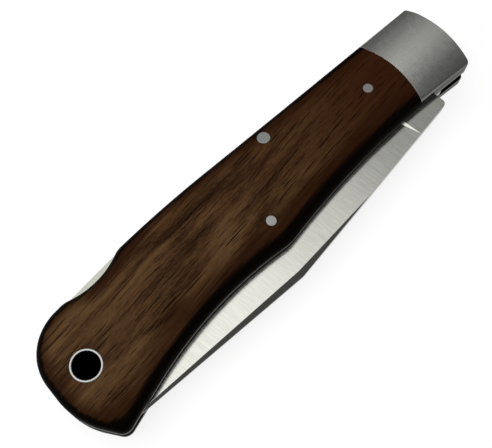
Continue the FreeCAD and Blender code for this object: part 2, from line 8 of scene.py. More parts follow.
import bmesh
import bpy
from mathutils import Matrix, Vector


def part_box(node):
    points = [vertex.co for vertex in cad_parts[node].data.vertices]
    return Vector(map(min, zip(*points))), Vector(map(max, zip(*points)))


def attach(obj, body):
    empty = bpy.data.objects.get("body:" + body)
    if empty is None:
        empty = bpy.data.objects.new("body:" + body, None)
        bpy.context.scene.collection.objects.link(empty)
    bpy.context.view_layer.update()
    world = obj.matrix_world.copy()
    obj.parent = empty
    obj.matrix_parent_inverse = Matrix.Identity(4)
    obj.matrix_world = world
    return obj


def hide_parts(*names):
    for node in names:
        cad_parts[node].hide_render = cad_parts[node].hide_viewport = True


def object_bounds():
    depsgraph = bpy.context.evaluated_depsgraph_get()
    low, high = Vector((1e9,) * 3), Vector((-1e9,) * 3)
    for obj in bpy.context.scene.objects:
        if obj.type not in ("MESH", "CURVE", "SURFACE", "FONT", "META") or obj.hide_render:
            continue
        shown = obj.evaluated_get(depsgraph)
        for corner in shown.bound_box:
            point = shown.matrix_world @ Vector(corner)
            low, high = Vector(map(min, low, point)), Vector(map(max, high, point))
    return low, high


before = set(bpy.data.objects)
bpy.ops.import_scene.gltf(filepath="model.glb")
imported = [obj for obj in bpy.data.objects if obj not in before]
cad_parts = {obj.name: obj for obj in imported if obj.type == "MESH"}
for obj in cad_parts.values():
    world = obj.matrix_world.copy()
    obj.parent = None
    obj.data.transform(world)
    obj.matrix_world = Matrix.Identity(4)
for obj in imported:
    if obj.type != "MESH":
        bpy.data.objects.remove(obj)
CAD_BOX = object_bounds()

LOG = logging.getLogger("knife")

Colour = tuple[float, float, float]
Point = tuple[float, float]
Triple = tuple[float, float, float]

# One millimetre, in metres
MM = 0.001
# Distance within which two places are the same, in millimetres
TOUCH = 0.001
# Mean value of a noise
NOISE_MIDDLE = 0.5
# Angle above which an edge of a modelled piece stays sharp, in degrees
SHARP_ANGLE = 32.0
BLACK: Colour = (0.0, 0.0, 0.0)
DULL: Colour = (0.5, 0.5, 0.5)
WHITE: Colour = (1.0, 1.0, 1.0)


class Side(Enum):
    """The two sides of the handle, by the sign of their height."""

    NEAR = 1
    FAR = -1

    @property
    def tag(self) -> str:
        """Give the word that ends the names of this side's pieces."""
        return self.name.lower()


class Brush(Enum):
    """The way that a steel face was last rubbed."""

    ALONG = "along the knife"
    ACROSS = "across the knife"
    ROUND = "with no direction"


class Signal:
    """A node's output that takes part in shader maths."""

    def __init__(self, graph: "Graph", socket: bpy.types.NodeSocket) -> None:
        """Keep the socket and the graph that it belongs to."""
        self.graph = graph
        self.socket = socket

    def __add__(self, other: "Signal | float") -> "Signal":
        """Give this value plus another."""
        return self.graph.maths("ADD", self, other)

    def __sub__(self, other: "Signal | float") -> "Signal":
        """Give this value less another."""
        return self.graph.maths("SUBTRACT", self, other)

    def __rsub__(self, other: float) -> "Signal":
        """Give a number less this value."""
        return self.graph.maths("SUBTRACT", other, self)

    def __mul__(self, other: "Signal | float") -> "Signal":
        """Give this value times another."""
        return self.graph.maths("MULTIPLY", self, other)

    def __pow__(self, other: "Signal | float") -> "Signal":
        """Give this value to a power."""
        return self.graph.maths("POWER", self, other)

    def __abs__(self) -> "Signal":
        """Give this value without its sign."""
        return self.graph.maths("ABSOLUTE", self, 0.0)

    __radd__ = __add__


class Graph:
    """The node tree of one material or of the world, with one method that makes any node."""

    def __init__(self, tree: bpy.types.NodeTree) -> None:
        """Take a tree and empty it."""
        self.tree = tree
        self.tree.nodes.clear()

    def node(self, kind: str, settings: dict | None = None, sockets: dict | None = None,
             output: str | int = 0) -> Signal | None:
        """Add a node of any type.

        Args:
            kind: The node's type name.
            settings: Its own settings, set first. A ramp's stops are pairs of place and colour, and a
                curve's points are pairs of numbers.
            sockets: Values or links for its inputs, by name, identifier or number.
            output: Name, identifier or number of the output that is wanted.

        Returns:
            The wanted output, or nothing for a node that has none.
        """
        node = self.tree.nodes.new(kind)
        for name, setting in (settings or {}).items():
            if name == "stops":
                self._set_stops(node.color_ramp, setting)
            elif name == "points":
                self._set_points(node.mapping, setting)
            else:
                setattr(node, name, setting)
        for key, value in (sockets or {}).items():
            socket = self._find(node.inputs, key)
            if isinstance(value, Signal):
                self.tree.links.new(value.socket, socket)
            else:
                socket.default_value = value
        return Signal(self, self._find(node.outputs, output)) if node.outputs else None

    @staticmethod
    def _set_stops(ramp: bpy.types.ColorRamp, stops: list[tuple[float, Colour]]) -> None:
        """Give a ramp its stops.

        Args:
            ramp: The ramp.
            stops: Pairs of a place on it and the colour there.
        """
        while len(ramp.elements) < len(stops):
            ramp.elements.new(1.0)
        for element, (place, colour) in zip(ramp.elements, stops):
            element.position = place
            element.color = (*colour, 1.0)

    @staticmethod
    def _set_points(mapping: bpy.types.CurveMapping, points: Iterable[Point]) -> None:
        """Give a curve its points, with straight lines between them and no limits.

        Args:
            mapping: The curve's settings.
            points: Pairs of a value and what the curve gives for it.
        """
        mapping.use_clip = False
        curve = mapping.curves[0]
        ordered = sorted(points)
        while len(curve.points) < len(ordered):
            curve.points.new(0.0, 0.0)
        for point, place in zip(curve.points, ordered):
            point.location = place
            point.handle_type = "VECTOR"
        mapping.update()

    @staticmethod
    def _find(sockets: Iterable, key: str | int) -> bpy.types.NodeSocket:
        """Find a socket.

        Args:
            sockets: A node's inputs or outputs.
            key: The socket's number, identifier or name.

        Returns:
            The socket.
        """
        if isinstance(key, int):
            return sockets[key]
        by_identifier = [socket for socket in sockets if socket.identifier == key]
        return by_identifier[0] if by_identifier else sockets[key]

    def maths(self, operation: str, first: Signal | float, second: Signal | float) -> Signal:
        """Add one step of arithmetic."""
        return self.node("ShaderNodeMath", {"operation": operation}, {0: first, 1: second})

    def ease(self, signal: Signal, low: float, high: float) -> Signal:
        """Give 0 below one limit and 1 beyond the other, with a smooth step between.

        Args:
            signal: The value that is read.
            low: The value that gives 0. It may be above the other limit.
            high: The value that gives 1.

        Returns:
            The eased value.
        """
        if low > high:
            return 1.0 - self.ease(signal, high, low)
        limits = {"Value": signal, "From Min": low, "From Max": high}
        return self.node("ShaderNodeMapRange", {"interpolation_type": "SMOOTHSTEP"}, limits)

    def curve(self, signal: Signal, points: Iterable[Point]) -> Signal:
        """Read a value off a curve of straight lines between points."""
        return self.node("ShaderNodeFloatCurve", {"points": points}, {"Value": signal, "Factor": 1.0})

    def mix(self, factor: Signal | float, first: Signal | Colour, second: Signal | Colour) -> Signal:
        """Mix two colours.

        Args:
            factor: Share of the second colour.
            first: The colour at factor 0.
            second: The colour at factor 1.

        Returns:
            The mixed colour.
        """
        colours = [value if isinstance(value, Signal) else (*value, 1.0) for value in (first, second)]
        sockets = {"Factor_Float": factor, "A_Color": colours[0], "B_Color": colours[1]}
        settings = {"data_type": "RGBA", "blend_type": "MIX", "clamp_factor": True}
        return self.node("ShaderNodeMix", settings, sockets, "Result_Color")

    def coordinates(self, output: str = "Object") -> Signal:
        """Give the object's own coordinates or normal."""
        return self.node("ShaderNodeTexCoord", output=output)

    def part(self, vector: Signal, axis: str) -> Signal:
        """Give one part of a vector."""
        return self.node("ShaderNodeSeparateXYZ", sockets={"Vector": vector}, output=axis)

    def rise(self) -> Signal:
        """Give a face's upright share, from 0 for a wall to 1 for a level face."""
        return abs(self.part(self.coordinates("Normal"), "Z"))

    def reach(self) -> Signal:
        """Give the distance from the lanyard bore's axis.

        Returns:
            The distance, in metres.
        """
        place = self.coordinates()
        x, y = self.part(place, "X"), self.part(place, "Y")
        return (x * x + y * y) ** 0.5

    def stretched(self, size: Triple, turn: float = 0.0, shift: Triple = (0.0, 0.0, 0.0),
                  place: Signal | None = None) -> Signal:
        """Give coordinates in which one unit is a pattern's own size.

        Args:
            size: Length of the pattern along each axis, in millimetres.
            turn: Turn of the pattern about +Z, in degrees.
            shift: Place of the pattern, in millimetres.
            place: The coordinates to stretch, which are the object's own if none are given.

        Returns:
            The stretched coordinates.
        """
        sockets = {
            "Vector": place or self.coordinates(),
            "Location": tuple(length * MM for length in shift),
            "Rotation": (0.0, 0.0, math.radians(turn)),
            "Scale": tuple(length * MM for length in size),
        }
        return self.node("ShaderNodeMapping", {"vector_type": "TEXTURE"}, sockets)

    def bump(self, height: Signal, depth: float, strength: float = 1.0,
             normal: Signal | None = None) -> Signal:
        """Turn a height from 0 to 1 into a normal.

        Args:
            height: The height.
            depth: The height of one unit, in millimetres.
            strength: Share of the effect.
            normal: The normal to start from.

        Returns:
            The changed normal.
        """
        sockets = {"Height": height, "Distance": depth * MM, "Strength": strength}
        if normal:
            sockets["Normal"] = normal
        return self.node("ShaderNodeBump", sockets=sockets)

    def surface(self, sockets: dict) -> None:
        """Finish a material with a general-purpose shader."""
        shader = self.node("ShaderNodeBsdfPrincipled", sockets=sockets)
        self.node("ShaderNodeOutputMaterial", sockets={"Surface": shader})


def new_material(name: str) -> tuple[bpy.types.Material, Graph]:
    """Make an empty material.

    Args:
        name: Its name.

    Returns:
        The material and the graph of its nodes.
    """
    material = bpy.data.materials.new(name)
    material.use_nodes = True
    return material, Graph(material.node_tree)


@dataclass(frozen=True)
class Layer:
    """One layer of smooth noise in a finish. Its size is that of its features, in millimetres."""

    size: Triple
    detail: float = 2.0
    rough: float = 0.5
    warp: float = 0.0

    def noise(self, graph: Graph, place: Signal | None = None, turn: float = 0.0,
              shift: Triple = (0.0, 0.0, 0.0)) -> Signal:
        """Give the layer's noise.

        Args:
            graph: The material's nodes.
            place: The coordinates to use, which are the object's own if none are given.
            turn: Turn of the noise about +Z, in degrees.
            shift: Place of the noise, in millimetres.

        Returns:
            The noise, about its mean value.
        """
        sockets = {
            "Vector": graph.stretched(self.size, turn, shift, place),
            "Scale": 1.0,
            "Detail": self.detail,
            "Roughness": self.rough,
            "Distortion": self.warp,
        }
        return graph.node("ShaderNodeTexNoise", {"noise_dimensions": "3D"}, sockets)


@dataclass(frozen=True)
class SteelFinish:
    """Bare steel that was rubbed to a satin or a polish, with lengths in millimetres.

    The grazing colour tints what the steel reflects at a flat angle. A dull or black one is painted shade,
    which darkens faces seen at a flat angle, and a finish may scale its colour by painted shading.
    """

    name: str
    colour: Colour
    roughness: float
    brush: Brush
    brush_turn: float = 0.0
    brush_pitch: float = 0.35
    brush_length: float = 14.0
    brush_detail: float = 3.0
    brush_fray: float = 0.6
    brush_contrast: float = 0.10
    brush_roughness: float = 0.12
    brush_depth: float = 0.004
    clouds: Layer = Layer((9.0, 9.0, 9.0))
    cloud_contrast: float = 0.06
    cloud_roughness: float = 0.05
    edge_radius: float = 0.12
    edge_samples: int = 6
    grazing: Colour = WHITE

    def material(self) -> bpy.types.Material:
        """Build the finish.

        Returns:
            The material.
        """
        material, graph = new_material(self.name)
        brushing = Layer(self._line_size(), self.brush_detail, self.brush_fray)
        lines = brushing.noise(graph, turn=self.brush_turn)
        streaks = lines - NOISE_MIDDLE
        clouds = self.clouds.noise(graph) - NOISE_MIDDLE
        tone = 1.0 + streaks * self.brush_contrast + clouds * self.cloud_contrast
        # The colour is scaled by the finish's painted shading, which plain steel does not have
        sockets = {0: self.colour, "Scale": tone * self.painted_shading(graph)}
        colour = graph.node("ShaderNodeVectorMath", {"operation": "SCALE"}, sockets)
        soft_edge = graph.node("ShaderNodeBevel", {"samples": self.edge_samples},
                               {"Radius": self.edge_radius * MM})
        graph.surface({
            "Base Color": colour,
            "Metallic": 1.0,
            "Roughness": self.roughness + streaks * self.brush_roughness + clouds * self.cloud_roughness,
            "Specular Tint": (*self.grazing, 1.0),
            "Normal": graph.bump(lines, self.brush_depth, normal=soft_edge),
        })
        return material

    def painted_shading(self, graph: Graph) -> Signal | float:
        """Give the share of light that the steel keeps under painted shading, which is all of it here."""
        return 1.0

    def _line_size(self) -> Triple:
        """Give the size of one brush line.

        Returns:
            Its length along each axis.
        """
        pitch, length = self.brush_pitch, self.brush_length
        if self.brush is Brush.ALONG:
            return (length, pitch, pitch)
        if self.brush is Brush.ACROSS:
            return (pitch, length, pitch)
        return (pitch, pitch, pitch)


@dataclass(frozen=True)
class LeanShadedFinish(SteelFinish):
    """Steel whose brightness depends on how far a face leans to the side.

    Its colour carries painted shade and painted highlight by face direction: the shading is pairs of a face's
    upright share, from 0 for a wall to 1 for a level face, and the share of light that it keeps.
    """

    lean_shading: tuple[Point, ...] = field(kw_only=True)

    def painted_shading(self, graph: Graph) -> Signal:
        """Give the painted shade and highlight, as the share of light that the steel keeps, by how far its
        face leans to the side.
        """
        return graph.curve(graph.rise(), self.lean_shading)


@dataclass(frozen=True)
class TubeFinish(SteelFinish):
    """Steel tube, with painted shade that makes it black inside and leaves its lips lit."""

    lit_lip_radius: float = 3.05
    shaded_bore_radius: float = 2.99
    shaded_bore_share: float = 0.004

    def painted_shading(self, graph: Graph) -> Signal:
        """Give the painted shade inside the bore, as the share of light that the steel keeps, by the distance
        from the tube's axis.
        """
        return self.shaded_bore_share + graph.ease(graph.reach(), self.shaded_bore_radius * MM, self.lit_lip_radius * MM)


@dataclass(frozen=True)
class LinerFinish(SteelFinish):
    """Steel sheet with painted shade: black on its wall next to the blade, and lit next to its cover."""

    lit_band_height: float = 1.95
    shaded_wall_height: float = 1.75
    shaded_wall_share: float = 0.01
    lit_band_share: float = 0.6

    def painted_shading(self, graph: Graph) -> Signal:
        """Give the painted shade on the wall, as the share of light that the steel keeps, by the height from
        the knife's middle.

        Args:
            graph: The material's nodes.

        Returns:
            The share.
        """
        height = abs(graph.part(graph.coordinates(), "Z"))
        clean = graph.ease(height, self.shaded_wall_height * MM, self.lit_band_height * MM)
        return self.shaded_wall_share + clean * self.lit_band_share


@dataclass(frozen=True)
class EdgeLine:
    """One outer edge of a CAD node, from which a material measures how far in it is.

    The points are pairs of a place along the edge and the edge's own place across it, in metres. The pace is
    the number of millimetres that one millimetre from this edge counts for.
    """

    points: tuple[Point, ...]
    along: str
    inside: int
    pace: float

    @classmethod
    def measure(cls, node: str, along: str, inside: int, pace: float, slots: int = 30) -> "EdgeLine":
        """Find an edge in a node's mesh.

        Args:
            node: The CAD node.
            along: The axis along the edge, X or Y.
            inside: The sign of the way in from the edge on the other axis.
            pace: The number of millimetres that one millimetre counts for.
            slots: The number of stretches along the edge that give one point each.

        Returns:
            The edge.
        """
        axis = "XY".index(along)
        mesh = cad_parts[node].data
        places: list[Point] = []
        for edge in mesh.edges:
            start, end = (mesh.vertices[index].co for index in edge.vertices)
            steps = max(1, round((end - start).length / MM))
            points = [start.lerp(end, step / steps) for step in range(steps + 1)]
            places.extend((point[axis], point[1 - axis]) for point in points)
        low = min(places)[0]
        stretch = (max(places)[0] - low) / slots
        outermost: dict[int, Point] = {}
        for place in places:
            index = min(int((place[0] - low) / stretch), slots - 1)
            held = outermost.get(index, place)
            outermost[index] = place if (held[1] - place[1]) * inside > 0.0 else held
        return cls(tuple(outermost.values()), along, inside, pace)

    def distance(self, graph: Graph, place: Signal) -> Signal:
        """Give the distance in from the edge.

        Args:
            graph: The material's nodes.
            place: The object's own coordinates.

        Returns:
            The distance, in metres, times the edge's pace.
        """
        across = "Y" if self.along == "X" else "X"
        edge = graph.curve(graph.part(place, self.along), self.points)
        return (graph.part(place, across) - edge) * (self.inside * self.pace)


@dataclass(frozen=True)
class Figure:
    """The noises that draw one piece of wood."""

    patches: Signal
    streaks: Signal
    fibres: Signal


@dataclass(frozen=True)
class PoreSize:
    """One size of open pore.

    The spacing is in millimetres, and the reach is the share of it from a pore's middle to its rim.
    """

    spacing: Triple
    reach: float


@dataclass(frozen=True)
class WalnutFinish:
    """Oiled walnut with dark open pores, that turns red to the front and nearly black towards its edges,
    where darker wood is mixed with painted shade.

    Lengths are in millimetres and turns in degrees. A start is where a change begins, and a full is where it
    is complete.
    """

    name: str
    edges: tuple[EdgeLine, ...]
    # Colours, and the tones at which the wood has the first four
    pale: Colour = (0.140, 0.0750, 0.0300)
    middle: Colour = (0.083, 0.0400, 0.0165)
    dark: Colour = (0.038, 0.0163, 0.0062)
    darkest: Colour = (0.017, 0.0070, 0.0028)
    red: Colour = (0.034, 0.0086, 0.0021)
    # The next two colours darken the edges: darker wood mixed with painted shade
    brown_rim_and_shade: Colour = (0.027, 0.0080, 0.0020)
    black_edge_and_shade: Colour = (0.0022, 0.0011, 0.0006)
    pore: Colour = (0.0045, 0.0022, 0.0011)
    pale_place: float = 0.60
    middle_place: float = 0.51
    dark_place: float = 0.45
    darkest_place: float = 0.385
    # Sheen
    roughness: float = 0.55
    pore_roughness: float = 0.2
    streak_polish: float = 0.1
    gloss: float = 0.02
    # Grain: its noises, and the tone with the weight of each noise in it
    grain_turn: float = 4.5
    grain_drift: float = 3.2
    wander: Layer = Layer((34.0, 16.0, 16.0), detail=1.0)
    patches: Layer = Layer((22.0, 3.4, 3.4), detail=3.0, warp=0.4)
    streaks: Layer = Layer((26.0, 0.8, 1.2), detail=4.0, rough=0.65)
    fibres: Layer = Layer((1.5, 0.14, 0.20), detail=3.0, rough=0.7)
    middle_tone: float = 0.515
    patch_tone: float = 0.44
    streak_tone: float = 0.18
    fibre_tone: float = 0.28
    # Open pores, which come in groups
    pore_sizes: tuple[PoreSize, ...] = (
        PoreSize((42.0, 1.3, 1.0), 0.115),
        PoreSize((24.0, 0.9, 1.0), 0.13),
        PoreSize((13.0, 0.6, 1.0), 0.135),
    )
    pore_shift: Point = (3.0, 1.7)
    pore_core: float = 0.55
    pore_fray: float = 0.05
    pore_share: float = 0.92
    pore_groups: Layer = Layer((16.0, 2.6, 2.6), detail=1.0)
    group_start: float = 0.32
    group_full: float = 0.50
    # Red, by the place along the handle
    red_start: float = 40.0
    red_full: float = 98.0
    red_least: float = 0.35
    # Darker rim with painted shade, by the distance from an edge, and how far each noise moves them
    brown_rim_and_shade_start: float = 8.5
    brown_rim_and_shade_full: float = 2.4
    brown_rim_and_shade_patch: float = 5.0
    brown_rim_and_shade_streak: float = 4.0
    black_edge_and_shade_start: float = 3.0
    black_edge_and_shade_full: float = 1.6
    black_edge_and_shade_streak: float = 3.0
    # Share of the rim's colour with its painted shade, and the fibres' part in it
    brown_rim_and_shade_least: float = 0.55
    brown_rim_and_shade_fibre: float = 0.6
    # Black edge with painted shade where a face leans to the side, by its upright share
    lean_start: float = 0.93
    lean_full: float = 0.70
    # Relief of the fibres and pores
    relief_depth: float = 0.04
    relief_strength: float = 0.5
    relief_fibre: float = 0.35

    def material(self) -> bpy.types.Material:
        """Build the finish.

        Returns:
            The material.
        """
        material, graph = new_material(self.name)
        place = graph.coordinates()
        grain = self._wavy(graph, place)
        layers = (self.patches, self.streaks, self.fibres)
        figure = Figure(*(layer.noise(graph, grain) for layer in layers))
        pores = self._pores(graph, grain, figure.fibres)
        wood = self._heartwood(graph, place, figure)
        wood = graph.mix(pores * self.pore_share, wood, self.pore)
        height = figure.fibres * self.relief_fibre - pores
        graph.surface({
            "Base Color": self._darkened(graph, place, figure, wood),
            "Roughness": self.roughness + pores * self.pore_roughness - figure.streaks * self.streak_polish,
            "Specular IOR Level": self.gloss,
            "Normal": graph.bump(height, self.relief_depth, self.relief_strength),
        })
        return material

    def _wavy(self, graph: Graph, place: Signal) -> Signal:
        """Turn the coordinates to the grain and let the grain wander from side to side.

        Args:
            graph: The material's nodes.
            place: The object's own coordinates.

        Returns:
            Coordinates along and across the grain.
        """
        unscaled = 1.0 / MM
        turned = graph.stretched((unscaled, unscaled, unscaled), self.grain_turn, place=place)
        wander = self.wander.noise(graph, turned) - NOISE_MIDDLE
        drift = graph.node("ShaderNodeCombineXYZ", sockets={"Y": wander * self.grain_drift * MM})
        return graph.node("ShaderNodeVectorMath", {"operation": "ADD"}, {0: turned, 1: drift})

    def _heartwood(self, graph: Graph, place: Signal, figure: Figure) -> Signal:
        """Give the colour of the bare wood, which is redder to the front.

        Args:
            graph: The material's nodes.
            place: The object's own coordinates.
            figure: The noises that draw the wood.

        Returns:
            The colour.
        """
        weights = (
            (figure.patches, self.patch_tone),
            (figure.streaks, self.streak_tone),
            (figure.fibres, self.fibre_tone),
        )
        tone = self.middle_tone
        for noise, weight in weights:
            tone = tone + (noise - NOISE_MIDDLE) * weight
        stops = [
            (self.darkest_place, self.darkest),
            (self.dark_place, self.dark),
            (self.middle_place, self.middle),
            (self.pale_place, self.pale),
        ]
        wood = graph.node("ShaderNodeValToRGB", {"stops": stops}, {"Fac": tone}, "Color")
        front = graph.ease(graph.part(place, "X"), self.red_start * MM, self.red_full * MM)
        return graph.mix(front * (self.red_least + figure.patches), wood, self.red)

    def _pores(self, graph: Graph, grain: Signal, fibres: Signal) -> Signal:
        """Give the mask of the open pores: thin dashes along the grain.

        Args:
            graph: The material's nodes.
            grain: Coordinates along and across the grain.
            fibres: Fine noise that frays the dashes.

        Returns:
            1 in a pore, 0 elsewhere.
        """
        pores = None
        for index, pore in enumerate(self.pore_sizes):
            shift = (self.pore_shift[0] * index, self.pore_shift[1] * index, 0.0)
            settings = {"voronoi_dimensions": "2D", "feature": "F1"}
            where = graph.stretched(pore.spacing, shift=shift, place=grain)
            distance = graph.node("ShaderNodeTexVoronoi", settings, {"Vector": where, "Scale": 1.0})
            frayed = distance + (fibres - NOISE_MIDDLE) * self.pore_fray
            groups = self.pore_groups.noise(graph, grain, shift=shift)
            present = graph.ease(groups, self.group_start, self.group_full)
            mask = graph.ease(frayed, pore.reach, pore.reach * self.pore_core) * present
            pores = graph.maths("MAXIMUM", pores, mask) if pores else mask
        return pores

    def _darkened(self, graph: Graph, place: Signal, figure: Figure, wood: Signal) -> Signal:
        """Darken the wood towards its edges, and blacken it at them and where it leans to the side, as darker
        wood mixed with painted shade.

        Args:
            graph: The material's nodes.
            place: The object's own coordinates.
            figure: The noises that make the bands ragged.
            wood: The wood's colour.

        Returns:
            The darkened colour.
        """
        patches, streaks = figure.patches - NOISE_MIDDLE, figure.streaks - NOISE_MIDDLE
        nearest = self._nearest_edge(graph, place)
        ragged = nearest + patches * (self.brown_rim_and_shade_patch * MM) + streaks * (self.brown_rim_and_shade_streak * MM)
        browned_and_shaded = graph.ease(ragged, self.brown_rim_and_shade_start * MM, self.brown_rim_and_shade_full * MM)
        share = self.brown_rim_and_shade_least + figure.fibres * self.brown_rim_and_shade_fibre
        wood = graph.mix(browned_and_shaded * share, wood, self.brown_rim_and_shade)
        ragged = nearest + streaks * (self.black_edge_and_shade_streak * MM)
        blackened_and_shaded = graph.ease(ragged, self.black_edge_and_shade_start * MM, self.black_edge_and_shade_full * MM)
        leaning = graph.ease(graph.rise(), self.lean_start, self.lean_full)
        return graph.mix(graph.maths("MAXIMUM", blackened_and_shaded, leaning), wood, self.black_edge_and_shade)

    def _nearest_edge(self, graph: Graph, place: Signal) -> Signal:
        """Give the distance to the nearest edge.

        Args:
            graph: The material's nodes.
            place: The object's own coordinates.

        Returns:
            The distance, in metres, each edge at its own pace.
        """
        nearest = self.edges[0].distance(graph, place)
        for edge in self.edges[1:]:
            nearest = graph.maths("MINIMUM", nearest, edge.distance(graph, place))
        return nearest


@dataclass(frozen=True)
class FloorFinish:
    """Pale paper that shows nearly white to the eye and in reflections, and keeps the shadow.

    It carries a painted shadow under the lanyard bore, which is black within one radius and fades out by
    another, in millimetres.
    """

    name: str = "pale_paper"
    colour: Colour = (0.30, 0.30, 0.30)
    lift: float = 0.82
    bore_shade_start: float = 3.2
    bore_shade_end: float = 4.4

    def material(self) -> bpy.types.Material:
        """Build the finish.

        Returns:
            The material.
        """
        material, graph = new_material(self.name)
        kinds = ("Camera", "Glossy", "Transmission")
        rays = [graph.node("ShaderNodeLightPath", output=f"Is {kind} Ray") for kind in kinds]
        seen = graph.maths("MINIMUM", rays[0] + rays[1] + rays[2], 1.0)
        # Painted shadow: the paper is black under the bore, and its glow is turned off there too
        outside = graph.ease(graph.reach(), self.bore_shade_start * MM, self.bore_shade_end * MM)
        colour = graph.mix(outside, BLACK, self.colour)
        paper = graph.node("ShaderNodeBsdfDiffuse", sockets={"Color": colour})
        glow = graph.node("ShaderNodeEmission", sockets={"Strength": seen * outside * self.lift})
        total = graph.node("ShaderNodeAddShader", sockets={0: paper, 1: glow})
        graph.node("ShaderNodeOutputMaterial", sockets={"Surface": total})
        return material


def deselect_all() -> None:
    """Leave nothing selected."""
    bpy.ops.object.select_all(action="DESELECT")


def select_edges(piece: bpy.types.Object, wanted: Callable[[bmesh.types.BMEdge], bool]) -> None:
    """Select some edges of the piece in edit mode.

    Args:
        piece: The piece that is in edit mode.
        wanted: The test that picks an edge by its place.
    """
    bpy.ops.mesh.select_mode(type="EDGE")
    bpy.ops.mesh.select_all(action="DESELECT")
    shape = bmesh.from_edit_mesh(piece.data)
    for edge in shape.edges:
        edge.select_set(wanted(edge))
    bmesh.update_edit_mesh(piece.data)


def settle(piece: bpy.types.Object, name: str, finish: bpy.types.Material) -> bpy.types.Object:
    """Name a modelled piece, move its place into its mesh, smooth it and give it its finish.

    Args:
        piece: The piece, in object mode.
        name: Its name.
        finish: Its material.

    Returns:
        The same piece.
    """
    piece.name = name
    piece.data.name = name
    bpy.ops.object.transform_apply(location=True, rotation=True, scale=True)
    bpy.ops.object.shade_smooth_by_angle(angle=math.radians(SHARP_ANGLE))
    flat_faces = piece.modifiers.new("flat_faces", "WEIGHTED_NORMAL")
    flat_faces.keep_sharp = True
    bpy.ops.object.modifier_apply(modifier=flat_faces.name)
    piece.data.materials.clear()
    piece.data.materials.append(finish)
    deselect_all()
    return piece


def paint(node: str, finish: bpy.types.Material) -> None:
    """Give a CAD node its finish."""
    for material_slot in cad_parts[node].material_slots:
        material_slot.material = finish


@dataclass
class Crown:
    """The domed faces of the handle, in millimetres."""

    height: float = 6.35
    centre_y: float = 0.3
    radius: float = 50.0

    def top(self, y: float) -> float:
        """Give the height of the face at a distance across the handle."""
        return self.height - self.radius + math.sqrt(self.radius ** 2 - (y - self.centre_y) ** 2)

    def sag(self, reach: float) -> float:
        """Give how far the face falls away from level over a distance."""
        return reach ** 2 / (2.0 * self.radius)

    def normal(self, y: float, side: Side) -> Vector:
        """Give the outward direction of one face at a distance across the handle."""
        lean = (y - self.centre_y) / self.radius
        return Vector((0.0, lean, side.value * math.sqrt(1.0 - lean ** 2)))


@dataclass
class Pin:
    """A flush pin with softened rims, in millimetres, at the place of its CAD node."""

    node: str
    sides: tuple[Side, ...]
    crown: Crown
    spare: float = 1.0
    rim: float = 0.07
    rim_steps: int = 3
    facets: int = 64

    def __post_init__(self) -> None:
        """Take the pin's axis, radius and ends from its node."""
        low, high = (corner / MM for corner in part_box(self.node))
        self.axis = (low + high) / 2.0
        self.radius = (high.x - low.x) / 2.0
        self.ends = [low.z, high.z]

    def build(self, finish: bpy.types.Material) -> bpy.types.Object:
        """Turn a rod, cut it flush with the crown and soften the rims.

        Args:
            finish: The pin's material.

        Returns:
            The pin.
        """
        deselect_all()
        low = self.ends[0] - self.spare * (Side.FAR in self.sides)
        high = self.ends[1] + self.spare * (Side.NEAR in self.sides)
        bpy.ops.mesh.primitive_cylinder_add(
            vertices=self.facets,
            radius=self.radius * MM,
            depth=(high - low) * MM,
            location=Vector((self.axis.x, self.axis.y, (low + high) / 2.0)) * MM,
        )
        piece = bpy.context.active_object
        bpy.ops.object.transform_apply(location=True, rotation=False, scale=False)
        bpy.ops.object.mode_set(mode="EDIT")
        for side in self.sides:
            self._cut_flush(piece, side)
        bpy.ops.object.mode_set(mode="OBJECT")
        return settle(piece, f"{self.node}_turned", finish)

    def _cut_flush(self, piece: bpy.types.Object, side: Side) -> None:
        """Cut one end level with the crown and bevel its rim.

        Args:
            piece: The rod, in edit mode.
            side: The side of the handle that the end shows on.
        """
        normal = self.crown.normal(self.axis.y, side)
        height = self.crown.top(self.axis.y) - self.crown.sag(self.radius)
        end = Vector((self.axis.x, self.axis.y, side.value * height)) * MM

        def on_rim(edge: bmesh.types.BMEdge) -> bool:
            """Tell whether an edge lies in the cut."""
            return all(abs((vertex.co - end).dot(normal)) < TOUCH * MM for vertex in edge.verts)

        bpy.ops.mesh.select_all(action="SELECT")
        bpy.ops.mesh.bisect(plane_co=end, plane_no=normal, use_fill=True, clear_outer=True)
        select_edges(piece, on_rim)
        bpy.ops.mesh.bevel(offset=self.rim * MM, segments=self.rim_steps, affect="EDGES")


